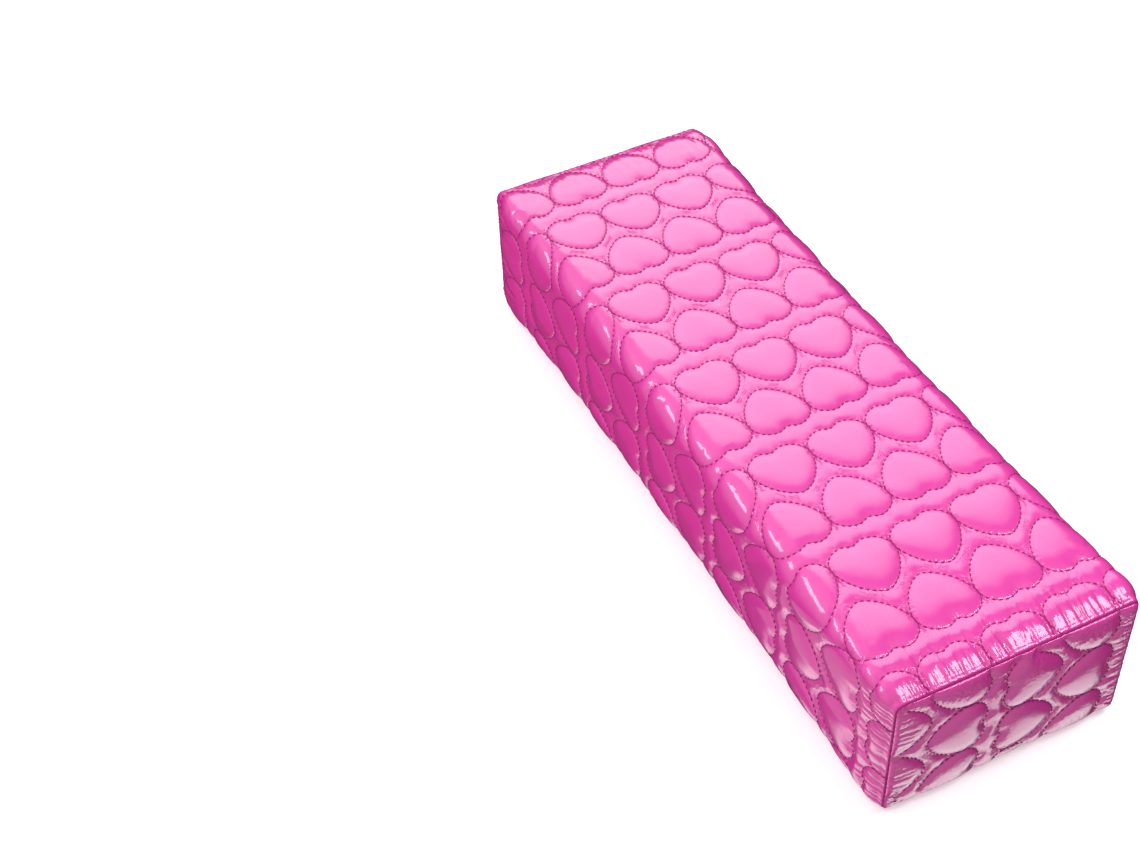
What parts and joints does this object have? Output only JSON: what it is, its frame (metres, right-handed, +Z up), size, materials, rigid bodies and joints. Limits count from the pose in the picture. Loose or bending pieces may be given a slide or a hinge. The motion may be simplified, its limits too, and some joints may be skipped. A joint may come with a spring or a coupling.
{
  "type": "manicure hand rest",
  "caption": "Long low foam cushion in a heart-quilted glossy cover, which holds up a client's hand and wrist at a manicure.",
  "frame": {"origin": "on the resting surface, under the middle of the cushion", "axes": "+X along the cushion, towards the end that the picture shows nearest; +Z up; the closing seam is low on the +Y side"},
  "size_m": [0.3088, 0.1028, 0.0632],
  "materials": {
    "cover": "glossy patent synthetic leather, quilted",
    "foam": "open-cell polyurethane foam",
    "thread": "spun polyester sewing thread"
  },
  "bodies": {
    "root": {"foam_core": "foam", "wrap_panel": "cover", "end_panel_near": "cover", "end_panel_far": "cover", "end_seam_thread_near": "thread", "end_seam_thread_far": "thread", "closing_seam_thread": "thread"}
  },
  "joints": []
}
